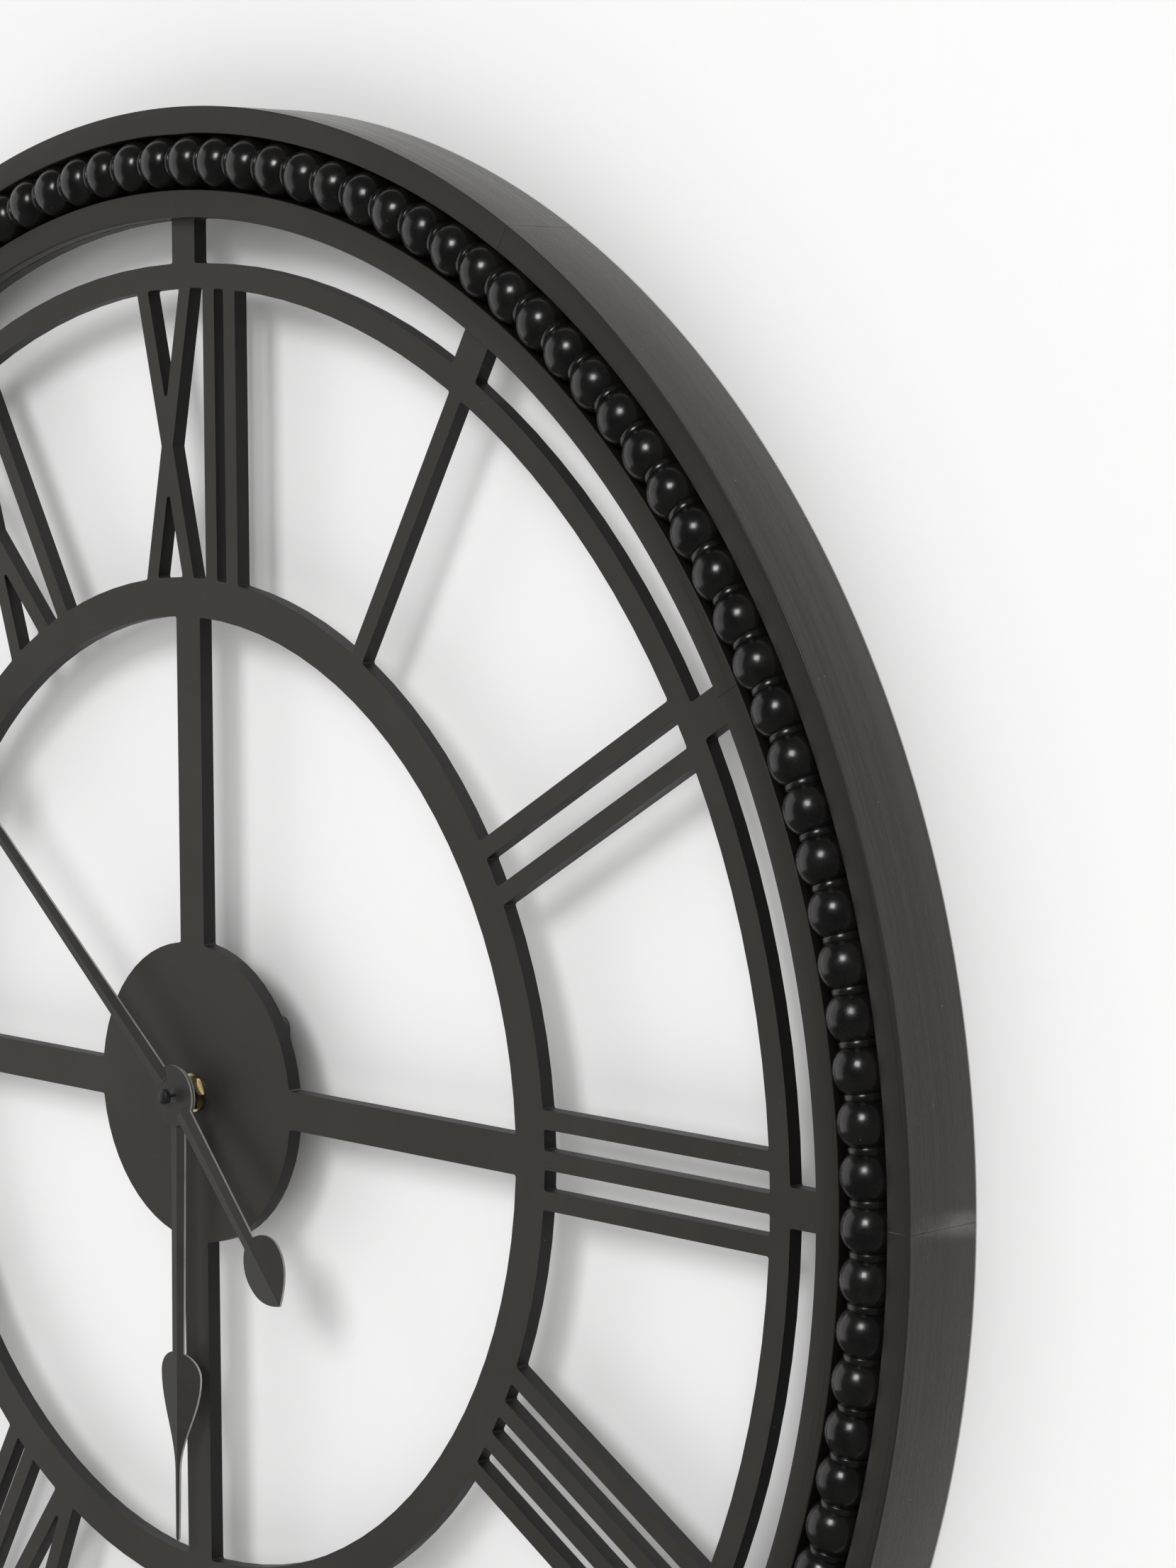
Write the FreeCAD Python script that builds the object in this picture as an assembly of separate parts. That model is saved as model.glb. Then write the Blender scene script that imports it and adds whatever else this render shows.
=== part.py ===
import FreeCAD, Part
import math
import os
from FreeCAD import Vector

# Wall clock in millimetres. The dial axis is Y, the clock faces -Y, up is +Z.
# The origin is on the dial axis in the plane of the wall.

# Rim
outerRadius = 350.0
rimDepth = 29.7
hoopWidth = 9.5
channelWidth = 19.4
bezelWidth = 9.7
bezelThickness = 5.3
rimSegments = 6
hoopSeamAngle = 30.0
bezelSeamAngle = 0.0
backRingThickness = 4.8
backRingSetback = 6.6

# Beads
beadCount = 130
beadDiameter = 19.0
beadSetback = 3.9
beadGap = 0.06
beadPhase = 0.555
collarRadius = 6.75
wireDiameter = 2.0
wireClearance = 0.15

# Dial board
dialThickness = 5.35
chapterOuterRadius = 295.8
chapterWidth = 8.7
innerRingOuterRadius = 185.0
innerRingWidth = 13.9
hubRadius = 54.2
spokeWidth = 13.5
connectorWidth = 12.8
cutterRadius = 0.9
strokeWidth = 6.4
vTopWidth = 38.0
vKerning = 1.8
vOverlap = 2.2
xTopWidth = 33.0
xFootWidth = 30.0
xLean = 2.4
dialHoleClearance = 0.3
barOverlap = 5.0
numeralGaps = (("XII", 5.2), ("I", 0.0), ("II", 10.4), ("III", 7.0), ("IIII", 7.2), ("V", 0.0),
               ("VI", 5.4), ("VII", 5.4), ("VIII", 5.4), ("IX", 5.2), ("X", 0.0), ("XI", 5.2))

# Hanger behind twelve o'clock
hangerBlockLength = 64.0
hangerPlateLength = 48.0
hangerPlateHeight = 16.0
hangerPlateThickness = 1.5
keyholeHeadRadius = 4.5
keyholeSlotRadius = 2.25
keyholeSlotLength = 5.0
hangerScrewSpacing = 38.0
hangerScrewDiameter = 2.5
hangerScrewHead = 5.0
hangerScrewLength = 9.0
hangerSlotWidth = 0.6
hangerSlotDepth = 0.5
hangerInnerGap = 1.5
hangerOuterGap = 0.5
hangerPlateInset = 0.2
hangerEntryDrop = 2.0
hangerPocketFloor = 3.0
hangerPocketLip = 1.0

# Movement case
caseSize = 56.0
caseDepth = 15.5
caseWall = 1.5
caseCorner = 4.0
coverClearance = 0.15
rubberWasherThickness = 1.0
rubberWasherDiameter = 20.0
batteryDiameter = 14.3
batteryLength = 50.5
batteryNub = 1.0
batteryClearance = 0.1
bayWall = 1.2
contactThickness = 0.4
bayFloor = 0.5
nubRadius = 2.75
springRadius = 3.0
springTipRadius = 1.2
stripDepth = 3.0
stripSetback = 0.2
padHalf = 4.0
boardCentre = 21.5
boardHalfHeight = 3.5
boardThickness = 0.8
boardSetback = 1.15
chipHalfLength = 5.0
chipHalfHeight = 2.5
chipThickness = 1.0
flangeThickness = 0.7
postRoot = 0.2
dividerEndGap = 1.2
pivotHoleDepth = 1.0
coverPivotDepth = 0.95
coverRecess = 0.5
hookLength = 8.0
hookWidth = 1.0
hookDepth = 0.4
hookHeight = 8.0

# Stepping motor
statorLayer = 3.15
laminationThickness = 0.8
legLeft = -16.0
legRight = 20.0
legWidth = 3.0
barHalfWidth = 2.5
poleHalfWidth = 5.0
poleHalfHeight = 4.5
airGap = 0.6
coreHalf = 1.0
coilGap = 0.5
spoolRadius = 1.7
cheekRadius = 3.2
cheekThickness = 0.8
windingRadius = 2.9

# Hub hardware
bushingDiameter = 8.0
bushingFlange = 12.0
bushingProud = 1.2
washerDiameter = 13.8
washerThickness = 0.8
washerClearance = 0.15
nutAcrossFlats = 11.0
nutThickness = 2.8
nutChamfer = 0.65
pipeDiameter = 5.0
arborDiameter = 3.5
arborSetback = 0.1
arborNeckRadius = 1.1
secondArborDiameter = 1.0
runningClearance = 0.05
capDiameter = 5.3
capLength = 2.6
capStandoff = 2.6

# Hands
sheetThickness = 0.8
handStandoff = 10.0
handSpacing = 1.9
creaseDrop = 0.16
minuteAngle = 313.9
minuteLean = 4.0
minuteLength = 235.0
minuteTail = 94.0
hourAngle = 180.0
hourLean = 0.8
hourLength = 163.0
eyeRadius = 11.0
hourEyeRadius = 10.0
eyeOverlap = 4.0
leafHalfWidth = 11.3
shoulderHeight = 8.5
hourSpadeStart = 93.5
hourNeedleStart = 137.5
minuteSpadeStart = 155.0
minuteNeedleStart = 199.0
tailLeafStart = 66.0
tailLeafWidest = 76.5
needleHalfWidth = 1.2
needleTipShare = 0.7
hourRootHalf = 3.9
hourStemHalf = 3.3
minuteRootHalf = 4.0
minuteStemHalf = 2.6
tailStemHalf = 3.3
minuteColletSetback = 0.15
minuteColletLength = 1.35
hourColletLength = 2.4
leafSteps = 8
flankSteps = 12
tailPointing = 2.3
minuteHole = 5.5
hourHole = 7.0

# Gear train: teeth, modules and layers counted from the inside of the case front
hourTeeth = 40
minutePinionTeeth = 10
minuteWheelTeeth = 36
cannonTeeth = 12
centreTeeth = 64
thirdPinionTeeth = 8
thirdTeeth = 60
secondPinionTeeth = 8
secondTeeth = 60
fifthPinionTeeth = 12
fifthTeeth = 60
rotorPinionTeeth = 10
knobPinionTeeth = 12
cannonModule = 0.25
centreModule = 0.25
secondModule = 0.25
rotorModule = 0.2
pivotRadius = 0.4
pivotLength = 0.8
arborRadius = 0.6
endPlay = 0.1
postRadius = 0.6
magnetRadius = 3.0
knobDiameter = 12.0
knobArborRadius = 1.5
minuteWheelDirection = 0.0
thirdDirection = 135.0
fifthDirection = 45.0
rotorDirection = 60.0

# Gear tooth form: heights in modules, half widths as shares of the pitch angle
toothAddendum = 0.8
toothDedendum = 1.2
toothRootShare = 0.27
toothPitchShare = 0.19
toothTipShare = 0.08

# Train layers: how far each wheel's front lies behind the inside of the case front
hourLayer = 0.25
hourWheelThickness = 1.0
minutePinionLength = 1.25
minuteWheelLayer = 1.5
minuteWheelThickness = 0.85
neckLayer = 1.4
cannonLayer = 1.45
cannonLength = 1.25
knobPinionLength = 1.0
knobArborLayer = 2.4
centreLayer = 2.75
arborEndLayer = 3.7
thirdLayer = 4.15
secondLayer = 5.75
fifthLayer = 7.65
wheelThickness = 0.8
pinionLength = 1.0
pinionLead = 0.1
magnetLayer = 1.55
magnetLength = 4.0
knobGap = 0.15
knobThickness = 1.6
knobFlutes = 24
knobFluteRadius = 0.35

# Places worked out from the sizes above
channelOuter = outerRadius - hoopWidth
channelInner = channelOuter - channelWidth
bezelInner = channelInner - bezelWidth
beadRing = (channelOuter + channelInner) / 2
rimFront = -rimDepth
dialFront = rimFront + bezelThickness
dialBack = dialFront + dialThickness
channelFloor = rimFront + beadSetback + beadDiameter / 2
backRingBack = channelFloor + backRingThickness
backRingInner = bezelInner + backRingSetback
chapterInner = chapterOuterRadius - chapterWidth
caseFront = dialBack + rubberWasherThickness
caseInside = caseFront + caseWall
caseBack = caseFront + caseDepth
coverFront = caseBack - caseWall
halfCase = caseSize / 2
halfInside = halfCase - caseWall
bayTop = -halfInside + batteryDiameter + 2 * bayFloor
bushingRadius = bushingDiameter / 2
nutBack = dialFront - washerThickness
bushingFront = nutBack - nutThickness - bushingProud
minuteFront = dialFront - handStandoff
hourFront = minuteFront + handSpacing
arborFront = minuteFront + arborSetback

# Distances between gear axes
minuteDistance = (cannonTeeth + minuteWheelTeeth) * cannonModule / 2
hourModule = 2 * minuteDistance / (hourTeeth + minutePinionTeeth)
thirdDistance = (centreTeeth + thirdPinionTeeth) * centreModule / 2
thirdModule = 2 * thirdDistance / (thirdTeeth + secondPinionTeeth)
fifthDistance = (secondTeeth + fifthPinionTeeth) * secondModule / 2
rotorDistance = (fifthTeeth + rotorPinionTeeth) * rotorModule / 2
knobDistance = (minuteWheelTeeth + knobPinionTeeth) * cannonModule / 2


def polar(radius, degrees):
    """X and Z of a point at an angle measured from +X towards +Z."""
    angle = math.radians(degrees)
    return radius * math.cos(angle), radius * math.sin(angle)


minuteWheelX, minuteWheelZ = polar(minuteDistance, minuteWheelDirection)
knobX = minuteWheelX + knobDistance
knobZ = minuteWheelZ
thirdX, thirdZ = polar(thirdDistance, thirdDirection)
fifthX, fifthZ = polar(fifthDistance, fifthDirection)
rotorX = fifthX + polar(rotorDistance, rotorDirection)[0]
rotorZ = fifthZ + polar(rotorDistance, rotorDirection)[1]


def save(node, shape):
    """Write one node to its own file."""
    shape.exportStep(os.path.join("parts", node + ".step"))
    print(node, len(shape.Solids), round(shape.Volume, 1))


def disc(radius, front, thickness, x=0.0, z=0.0):
    return Part.makeCylinder(radius, thickness, Vector(x, front, z), Vector(0, 1, 0))


def tube(outer, inner, front, thickness, x=0.0, z=0.0):
    return disc(outer, front, thickness, x, z).cut(disc(inner, front - 1, thickness + 2, x, z))


def box(x0, x1, y0, y1, z0, z1):
    return Part.makeBox(x1 - x0, y1 - y0, z1 - z0, Vector(x0, y0, z0))


def prism(points, front, thickness):
    """Extrude a closed outline of (x, z) points from its front face towards +Y."""
    corners = [Vector(x, front, z) for x, z in points]
    face = Part.Face(Part.makePolygon(corners + corners[:1]))
    return face.extrude(Vector(0, thickness, 0))


def turned(shape, clockwise):
    """Turn a shape about the dial axis, clockwise as the clock is read."""
    copy = shape.copy()
    copy.rotate(Vector(0, 0, 0), Vector(0, 1, 0), clockwise)
    return copy


def fused(shapes):
    whole = shapes[0].multiFuse(shapes[1:])
    return whole.removeSplitter()


def sector(outer, inner, front, thickness, start, sweep):
    """Part of a ring, from a start angle clockwise from twelve through a sweep."""
    whole = Part.makeCylinder(outer, thickness, Vector(0, 0, 0), Vector(0, 0, 1), sweep)
    hollow = Part.makeCylinder(inner, thickness, Vector(0, 0, 0), Vector(0, 0, 1), sweep)
    piece = whole.cut(hollow)
    piece.rotate(Vector(0, 0, 0), Vector(1, 0, 0), -90)
    piece.rotate(Vector(0, 0, 0), Vector(0, 1, 0), start - 90)
    piece.translate(Vector(0, front, 0))
    return piece


# Rim

def makeHoop():
    sweep = 360.0 / rimSegments
    for index in range(rimSegments):
        start = hoopSeamAngle + index * sweep
        save(f"hoop_segment_{index + 1}", sector(outerRadius, channelOuter, rimFront, rimDepth, start, sweep))


def makeBezel():
    sweep = 360.0 / rimSegments
    for index in range(rimSegments):
        start = bezelSeamAngle + index * sweep
        piece = sector(channelInner, bezelInner, rimFront, bezelThickness, start, sweep)
        save(f"bezel_segment_{index + 1}", piece)


def makeBackRing():
    floor = tube(channelOuter, backRingInner, channelFloor, backRingThickness)
    shoulder = tube(channelInner, backRingInner, dialBack, channelFloor - dialBack)
    save("back_ring", fused([floor, shoulder]))


def makeBeads():
    """Overlapping balls on a thick collar, each cut square where it meets the next."""
    step = 360.0 / beadCount
    pitch = 2 * math.pi * beadRing / beadCount
    centreY = rimFront + beadSetback
    along = Vector(1, 0, 0)
    axis = Vector(0, centreY, beadRing)
    bore = wireDiameter / 2 + wireClearance
    reach = math.sqrt((beadDiameter / 2) ** 2 - collarRadius ** 2)
    corners = [axis + Vector(x, 0, radius) for x, radius in (
        (-reach, collarRadius), (-pitch, collarRadius), (-pitch, bore),
        (pitch, bore), (pitch, collarRadius), (reach, collarRadius))]
    ball = Part.Arc(corners[-1], axis + Vector(0, 0, beadDiameter / 2), corners[0])
    outline = Part.Wire([ball.toShape()] + Part.makePolygon(corners).Edges)
    bead = Part.Face(outline).revolve(axis, along, 360)
    for side in (-1, 1):
        neighbour = box(0, pitch * 2, centreY - beadDiameter, centreY + beadDiameter, 0, outerRadius)
        neighbour.translate(Vector(beadGap / 2, 0, 0))
        if side < 0:
            neighbour.rotate(Vector(0, 0, 0), Vector(0, 0, 1), 180)
            neighbour.translate(Vector(0, 2 * centreY, 0))
        bead = bead.cut(turned(neighbour, side * step / 2))
    beads = [turned(bead, (index + beadPhase) * step) for index in range(beadCount)]
    save("bead_string", Part.makeCompound(beads))
    wire = Part.makeTorus(beadRing, wireDiameter / 2, Vector(0, centreY, 0), Vector(0, 1, 0))
    save("bead_wire", wire)


# Dial board: a numeral is laid out from left to right as a row of strokes

def letterStrokes(letter):
    """Strokes of one letter as (foot x, top x) of their left edges, and its advance."""
    if letter == "I":
        return [(0.0, 0.0)], strokeWidth
    if letter == "V":
        inset = vTopWidth / 2 - strokeWidth + vOverlap / 2
        strokes = [(inset, 0.0), (vTopWidth - strokeWidth - inset, vTopWidth - strokeWidth)]
        return strokes, vTopWidth - vKerning
    lean = xLean + (xTopWidth - xFootWidth) / 2
    strokes = [(lean, xTopWidth - strokeWidth), (lean + xFootWidth - strokeWidth, 0.0)]
    return strokes, max(xTopWidth, lean + xFootWidth)


def numeralStrokes(letters, gap, front):
    """Solid strokes of one numeral at twelve o'clock, from the inner ring to the chapter ring."""
    foot = innerRingOuterRadius - innerRingWidth / 2
    top = chapterInner + chapterWidth / 2
    edges = []
    reach = 0.0
    for letter in letters:
        strokes, advance = letterStrokes(letter)
        edges += [(reach + left, reach + right) for left, right in strokes]
        reach += advance + gap
    middle = (reach - gap) / 2
    shapes = []
    for footX, topX in edges:
        outline = [(footX - middle, foot), (footX - middle + strokeWidth, foot),
                   (topX - middle + strokeWidth, top), (topX - middle, top)]
        shapes.append(prism(outline, front, dialThickness))
    return shapes


def rounded(void):
    """Round the corners of an opening as the router's cutter leaves them."""
    solids = []
    for solid in void.Solids:
        corners = [edge for edge in solid.Edges
                   if edge.Length > dialThickness - 0.01
                   and abs(edge.tangentAt(edge.FirstParameter).y) > 0.999]
        solids.append(solid.makeFillet(cutterRadius, corners))
    return solids


def makeDial():
    board = disc(channelInner, dialFront, dialThickness)
    strokes = []
    connectors = []
    spokes = []
    for hour, (letters, gap) in enumerate(numeralGaps):
        strokes += [turned(shape, hour * 30) for shape in numeralStrokes(letters, gap, dialFront)]
        half = connectorWidth / 2
        bar = box(-half, half, dialFront, dialBack, chapterOuterRadius - barOverlap, channelInner)
        connectors.append(turned(bar, hour * 30))
    for quarter in range(4):
        half = spokeWidth / 2
        bar = box(-half, half, dialFront, dialBack, hubRadius - barOverlap,
                  innerRingOuterRadius - innerRingWidth / 2)
        spokes.append(turned(bar, quarter * 90))
    innerRingInner = innerRingOuterRadius - innerRingWidth
    bands = ((innerRingInner, hubRadius, spokes),
             (chapterInner, innerRingOuterRadius, strokes),
             (bezelInner, chapterOuterRadius, connectors))
    for outer, inner, bars in bands:
        band = tube(outer, inner, dialFront, dialThickness)
        openings = rounded(band.cut(bars))
        board = board.cut(openings)
    board = board.cut(disc(bushingRadius + dialHoleClearance, dialFront - 1, dialThickness + 2))
    save("dial_plate", board)


# Hanger

def makeHanger():
    low = backRingInner + hangerInnerGap
    high = channelOuter - hangerOuterGap
    half = hangerBlockLength / 2
    middle = (low + high) / 2
    plateBack = -hangerPlateInset
    plateFront = plateBack - hangerPlateThickness
    plateCut = hangerPlateThickness + 2
    block = box(-half, half, backRingBack, 0, low, outerRadius)
    block = block.common(disc(channelOuter, backRingBack, rimDepth))
    halfPlate = hangerPlateLength / 2
    bottom = middle - hangerPlateHeight / 2
    top = middle + hangerPlateHeight / 2
    recess = box(-halfPlate, halfPlate, plateFront, 1, bottom, top)
    pocketHalf = keyholeHeadRadius + hangerPocketLip / 2
    headRoom = box(-pocketHalf, pocketHalf, backRingBack + hangerPocketFloor, 1,
                   bottom + hangerPocketLip, top - hangerPocketLip)
    plate = box(-halfPlate, halfPlate, plateFront, plateBack, bottom, top)
    entryZ = middle - hangerEntryDrop
    keyhole = fused([disc(keyholeHeadRadius, plateFront - 1, plateCut, 0, entryZ),
                     disc(keyholeSlotRadius, plateFront - 1, plateCut, 0, entryZ + keyholeSlotLength),
                     box(-keyholeSlotRadius, keyholeSlotRadius, plateFront - 1, plateBack + 1,
                         entryZ, entryZ + keyholeSlotLength)])
    plate = plate.cut(keyhole)
    screws = []
    for side in (-1, 1):
        x = side * hangerScrewSpacing / 2
        shank = disc(hangerScrewDiameter / 2, plateBack - hangerScrewLength, hangerScrewLength, x, middle)
        head = Part.makeCone(hangerScrewDiameter / 2, hangerScrewHead / 2, hangerPlateThickness,
                             Vector(x, plateFront, middle), Vector(0, 1, 0))
        reach = hangerScrewHead / 2
        slot = box(x - reach, x + reach, plateBack - hangerSlotDepth, plateBack + 1,
                   middle - hangerSlotWidth / 2, middle + hangerSlotWidth / 2)
        screw = fused([shank, head])
        plate = plate.cut(screw)
        block = block.cut(shank)
        screws.append(screw.cut(slot))
    block = block.cut(recess).cut(headRoom)
    save("hanger_block", block)
    save("hanger_plate", plate)
    save("hanger_screws", Part.makeCompound(screws))


# Gears

def gear(teeth, module, front, thickness, x, z, phase):
    """Spur gear whose tooth centre lies at the phase angle from +X towards +Z."""
    pitchRadius = teeth * module / 2
    pitch = 360.0 / teeth
    root = pitchRadius - toothDedendum * module
    tip = pitchRadius + toothAddendum * module
    flanks = ((root, toothRootShare), (pitchRadius, toothPitchShare), (tip, toothTipShare))
    profile = [(radius, -share) for radius, share in flanks]
    profile += [(radius, share) for radius, share in reversed(flanks)]
    points = []
    for index in range(teeth):
        middle = phase + index * pitch
        for radius, offset in profile:
            px, pz = polar(radius, middle + offset * pitch)
            points.append((x + px, z + pz))
    return prism(points, front, thickness)


def meshPhase(teethA, phaseA, teethB, direction):
    """Phase of gear B that puts its gap on A's tooth, with B lying in a direction from A."""
    return direction + 180.0 - 180.0 / teethB + teethA * (direction - phaseA) / teethB


def layer(depth):
    return caseInside + depth


def pivoted(x, z, wheels):
    """Arbor from the case front to the cover with a pivot at each end, fused to its wheels."""
    front = caseInside + endPlay
    length = coverFront - caseInside - 2 * endPlay
    body = disc(arborRadius, front, length, x, z)
    pins = disc(pivotRadius, front - pivotLength, length + 2 * pivotLength, x, z)
    return fused([body, pins] + wheels)


def makeTrain():
    hourPhase = 0.0
    cannonPhase = 0.0
    centrePhase = 0.0
    minutePinionPhase = meshPhase(hourTeeth, hourPhase, minutePinionTeeth, minuteWheelDirection)
    minuteWheelPhase = meshPhase(cannonTeeth, cannonPhase, minuteWheelTeeth, minuteWheelDirection)
    knobPhase = meshPhase(minuteWheelTeeth, minuteWheelPhase, knobPinionTeeth, 0.0)
    thirdPinionPhase = meshPhase(centreTeeth, centrePhase, thirdPinionTeeth, thirdDirection)
    secondPinionPhase = meshPhase(thirdTeeth, 0.0, secondPinionTeeth, thirdDirection + 180.0)
    fifthPinionPhase = meshPhase(secondTeeth, 0.0, fifthPinionTeeth, fifthDirection)
    rotorPinionPhase = meshPhase(fifthTeeth, 0.0, rotorPinionTeeth, rotorDirection)

    pipeBore = arborDiameter / 2 + runningClearance
    hourWheel = gear(hourTeeth, hourModule, layer(hourLayer), hourWheelThickness, 0, 0, hourPhase)
    hourWheelBack = layer(hourLayer) + hourWheelThickness
    pipe = disc(pipeDiameter / 2, hourFront, hourWheelBack - hourFront)
    pipe = fused([hourWheel, pipe]).cut(disc(pipeBore, hourFront - 1, hourWheelBack - hourFront + 2))
    save("hour_wheel", pipe)

    minuteWheel = fused([
        gear(minutePinionTeeth, hourModule, layer(hourLayer), minutePinionLength,
             minuteWheelX, minuteWheelZ, minutePinionPhase),
        gear(minuteWheelTeeth, cannonModule, layer(minuteWheelLayer), minuteWheelThickness,
             minuteWheelX, minuteWheelZ, minuteWheelPhase)])
    postBore = disc(postRadius + runningClearance, caseInside, minuteWheelLayer * 2,
                    minuteWheelX, minuteWheelZ)
    save("minute_wheel", minuteWheel.cut(postBore))

    arborBack = layer(arborEndLayer)
    neckFront = layer(neckLayer)
    centre = fused([
        disc(arborDiameter / 2, arborFront, neckFront - arborFront),
        disc(arborNeckRadius, neckFront, arborBack - neckFront),
        gear(cannonTeeth, cannonModule, layer(cannonLayer), cannonLength, 0, 0, cannonPhase)])
    needle = disc(secondArborDiameter / 2 + runningClearance, arborFront - 1, arborBack - arborFront + 2)
    save("centre_arbor", centre.cut(needle))

    # The friction fit of this wheel on the arbor lets the hands be set against the going train.
    centreWheel = gear(centreTeeth, centreModule, layer(centreLayer), wheelThickness, 0, 0, centrePhase)
    neckBore = disc(arborNeckRadius + runningClearance, neckFront, arborBack - neckFront)
    save("centre_wheel", centreWheel.cut(neckBore))

    third = pivoted(thirdX, thirdZ, [
        gear(thirdPinionTeeth, centreModule, layer(centreLayer - pinionLead), pinionLength,
             thirdX, thirdZ, thirdPinionPhase),
        gear(thirdTeeth, thirdModule, layer(thirdLayer), wheelThickness, thirdX, thirdZ, 0.0)])
    save("third_wheel", third)

    capBack = minuteFront - capStandoff
    needleFront = capBack - capLength / 2
    second = fused([
        disc(secondArborDiameter / 2, needleFront, coverFront - endPlay - needleFront),
        disc(pivotRadius, coverFront - 1, 1 - endPlay + pivotLength),
        gear(secondPinionTeeth, thirdModule, layer(thirdLayer - pinionLead), pinionLength,
             0, 0, secondPinionPhase),
        gear(secondTeeth, secondModule, layer(secondLayer), wheelThickness, 0, 0, 0.0)])
    save("second_wheel", second)

    fifth = pivoted(fifthX, fifthZ, [
        gear(fifthPinionTeeth, secondModule, layer(secondLayer - pinionLead), pinionLength,
             fifthX, fifthZ, fifthPinionPhase),
        gear(fifthTeeth, rotorModule, layer(fifthLayer), wheelThickness, fifthX, fifthZ, 0.0)])
    save("fifth_wheel", fifth)

    rotor = pivoted(rotorX, rotorZ, [
        gear(rotorPinionTeeth, rotorModule, layer(fifthLayer - pinionLead), pinionLength,
             rotorX, rotorZ, rotorPinionPhase),
        disc(magnetRadius, layer(magnetLayer), magnetLength, rotorX, rotorZ)])
    save("rotor", rotor)

    knobFront = caseBack + knobGap
    knobInner = layer(knobArborLayer)
    grip = disc(knobDiameter / 2, knobFront, knobThickness, knobX, knobZ)
    for index in range(knobFlutes):
        px, pz = polar(knobDiameter / 2, index * 360.0 / knobFlutes)
        grip = grip.cut(disc(knobFluteRadius, knobFront - 1, knobThickness + 2, knobX + px, knobZ + pz))
    knob = fused([
        grip,
        disc(knobArborRadius, knobInner, knobFront - knobInner, knobX, knobZ),
        gear(knobPinionTeeth, cannonModule, layer(cannonLayer), knobPinionLength, knobX, knobZ, knobPhase),
        disc(pivotRadius, caseInside - pivotLength, knobInner - caseInside + pivotLength, knobX, knobZ)])
    save("setting_knob", knob)


# Movement case and what it holds

def roundedBlock(size, corner, front, depth):
    half = size / 2
    block = box(-half, half, front, front + depth, -half, half)
    edges = [edge for edge in block.Edges if abs(edge.tangentAt(edge.FirstParameter).y) > 0.999]
    return block.makeFillet(corner, edges)


def makeCase():
    shell = roundedBlock(caseSize, caseCorner, caseFront, caseDepth)
    cavity = roundedBlock(caseSize - 2 * caseWall, caseCorner - caseWall, caseInside, caseDepth)
    dividerHalf = halfInside - dividerEndGap
    divider = box(-dividerHalf, dividerHalf, caseInside, caseBack, bayTop, bayTop + bayWall)
    postLength = minuteWheelLayer + minuteWheelThickness + postRoot
    post = disc(postRadius, caseInside - postRoot, postLength, minuteWheelX, minuteWheelZ)
    shell = fused([shell.cut(cavity), divider, post])
    shell = shell.cut(disc(bushingRadius, caseFront - 1, caseWall + 2))
    shell = shell.cut(disc(bushingFlange / 2, caseInside - flangeThickness, flangeThickness))
    for x, z in ((thirdX, thirdZ), (fifthX, fifthZ), (rotorX, rotorZ), (knobX, knobZ)):
        shell = shell.cut(disc(pivotRadius + runningClearance, caseInside - pivotHoleDepth, pivotHoleDepth,
                               x, z))
    for side in (-1, 1):
        hook = box(-hookWidth / 2, hookWidth / 2, caseBack - hookDepth, caseBack,
                   -hookLength / 2, hookLength / 2)
        hook.translate(Vector(side * (halfInside - hookDepth), 0, hookHeight))
        shell = shell.fuse(hook)
    save("movement_case", shell.removeSplitter())


def makeCover():
    side = halfInside - coverClearance
    back = caseBack - coverRecess
    cover = box(-side, side, coverFront, back, bayTop + bayWall + coverClearance, side)
    edges = [edge for edge in cover.Edges
             if abs(edge.tangentAt(edge.FirstParameter).y) > 0.999 and edge.Vertexes[0].Point.z > 0]
    cover = cover.makeFillet(caseCorner - caseWall, edges)
    for x, z in ((thirdX, thirdZ), (fifthX, fifthZ), (rotorX, rotorZ), (0, 0)):
        cover = cover.cut(disc(pivotRadius + runningClearance, coverFront - endPlay, coverPivotDepth, x, z))
    cover = cover.cut(disc(knobArborRadius + runningClearance, coverFront - 1, caseWall + 2, knobX, knobZ))
    save("movement_cover", cover)


def makeBushing():
    inner = pipeDiameter / 2 + runningClearance
    barrel = tube(bushingRadius, inner, bushingFront, caseInside - bushingFront)
    flange = tube(bushingFlange / 2, inner, caseInside - flangeThickness, flangeThickness)
    save("bushing", fused([barrel, flange]))


def makeHubHardware():
    save("rubber_washer", tube(rubberWasherDiameter / 2, bushingRadius + dialHoleClearance,
                               dialBack, rubberWasherThickness))
    save("brass_washer", tube(washerDiameter / 2, bushingRadius + washerClearance, nutBack, washerThickness))
    cornerRadius = nutAcrossFlats / 2 / math.cos(math.radians(30))
    hexagon = [polar(cornerRadius, 60 * index) for index in range(6)]
    nut = prism(hexagon, nutBack - nutThickness, nutThickness)
    chamfer = Part.makeCone(cornerRadius - nutChamfer, cornerRadius + nutThickness - nutChamfer, nutThickness,
                            Vector(0, nutBack - nutThickness, 0), Vector(0, 1, 0))
    nut = nut.common(chamfer).cut(disc(bushingRadius, nutBack - nutThickness - 1, nutThickness + 2))
    save("hex_nut", nut)
    capBack = minuteFront - capStandoff
    domeHeight = capLength / 3
    domeRadius = ((capDiameter / 2) ** 2 + domeHeight ** 2) / (2 * domeHeight)
    cap = disc(capDiameter / 2, capBack - capLength, capLength)
    dome = Part.makeSphere(domeRadius, Vector(0, capBack - capLength + domeRadius, 0))
    cap = cap.common(dome).cut(disc(secondArborDiameter / 2, capBack - capLength / 2, capLength))
    save("arbor_cap", cap)


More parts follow.
